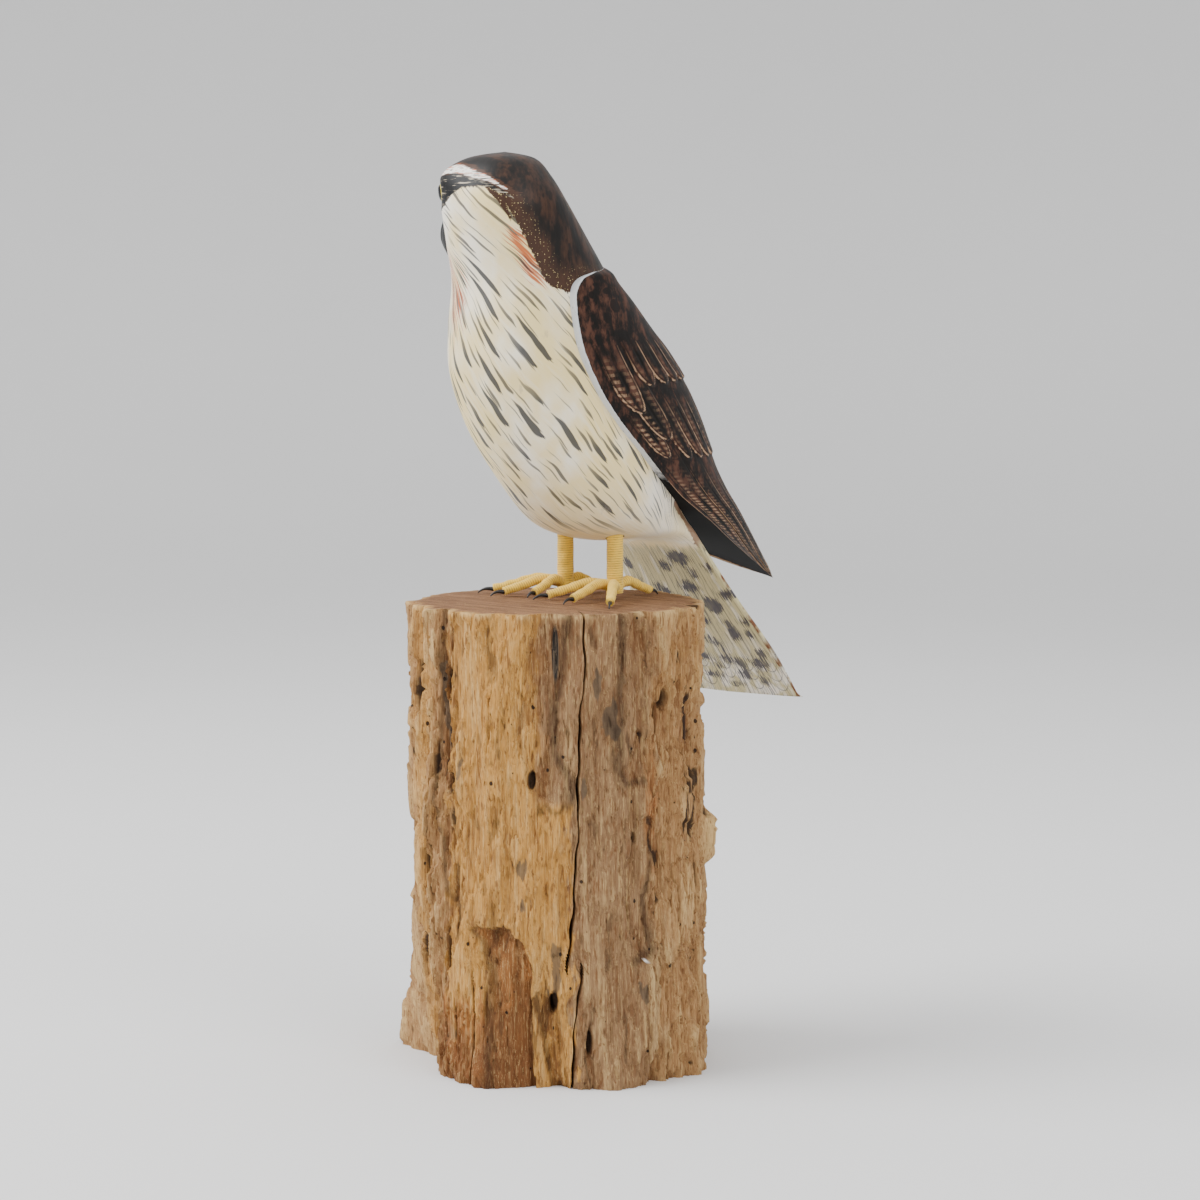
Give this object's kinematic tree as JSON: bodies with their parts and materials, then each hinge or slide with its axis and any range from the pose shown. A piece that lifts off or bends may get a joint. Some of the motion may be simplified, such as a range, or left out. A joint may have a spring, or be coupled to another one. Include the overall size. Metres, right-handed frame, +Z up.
{
  "type": "carved kestrel figure on a log",
  "caption": "Carved and painted wooden kestrel with its head turned to one side, standing on yarn-wrapped wire legs on an upright section of weathered log.",
  "frame": {"origin": "middle of the log's flat underside", "axes": "+Z up along the log; -Y is the way the bird's breast faces; +X is the bird's left side"},
  "size_m": [0.1609, 0.2539, 0.4532],
  "materials": {
    "painted_wood": "hand painted cream, grey and dark brown, satin varnish",
    "yarn": "yellow cotton yarn, tightly wound",
    "claw": "black paint, satin",
    "weathered_wood": "bare weathered wood, worm-eaten"
  },
  "bodies": {
    "root": {"kestrel_body": "painted_wood", "left_leg": "yarn", "right_leg": "yarn", "left_inner_claw": "claw", "left_middle_claw": "claw", "left_outer_claw": "claw", "left_hind_claw": "claw", "right_inner_claw": "claw", "right_middle_claw": "claw", "right_outer_claw": "claw", "right_hind_claw": "claw", "log_base": "weathered_wood"}
  },
  "joints": []
}
